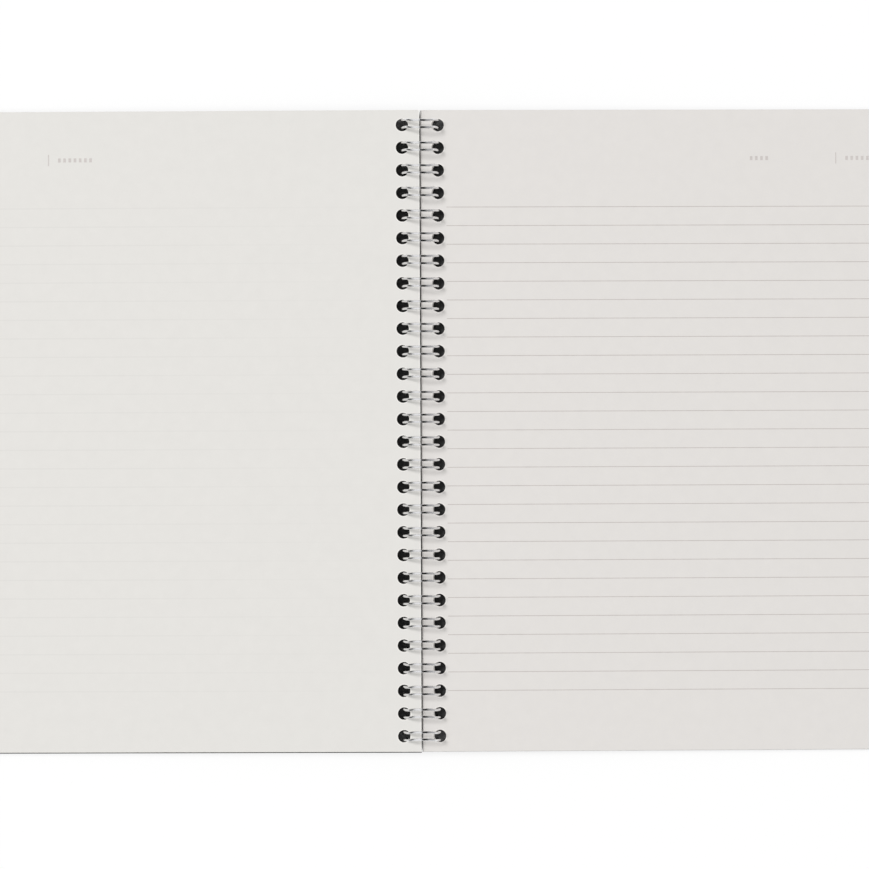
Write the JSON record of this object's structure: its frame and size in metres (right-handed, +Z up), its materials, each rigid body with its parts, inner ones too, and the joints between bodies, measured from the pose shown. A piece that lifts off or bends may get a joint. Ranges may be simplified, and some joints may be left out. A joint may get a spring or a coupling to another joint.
{
  "type": "open notebook with twin-loop wire binding",
  "caption": "Open ruled notebook lying flat, with black card covers, leaves turned part way and a silver twin-loop wire binding.",
  "frame": {"origin": "on the table, below the middle of the spine", "axes": "+X across both pages to the right, +Y along the spine to the head of the pages, +Z up"},
  "size_m": [0.3814, 0.2408, 0.0143],
  "materials": {
    "cover_card": "satin",
    "page_paper": "matte",
    "silver_wire": "bright",
    "grey_ink": "matte"
  },
  "bodies": {
    "back_half": {"back_cover": "cover_card", "binding_wire": "silver_wire"},
    "front_half": {"front_cover": "cover_card", "left_pages": "page_paper", "left_print": "grey_ink"},
    "right_leaves": {"right_pages": "page_paper", "right_print": "grey_ink"}
  },
  "joints": [
    {"name": "front_half_close", "type": "hinge", "parent": "back_half", "child": "front_half", "pos_m": [0, 0, 0.00715], "axis": [0, 1, 0], "range_deg": [0, 182.4]},
    {"name": "right_leaves_turn", "type": "hinge", "parent": "back_half", "child": "right_leaves", "pos_m": [0, 0, 0.00715], "axis": [0, -1, 0], "range_deg": [0, 182.4]}
  ]
}
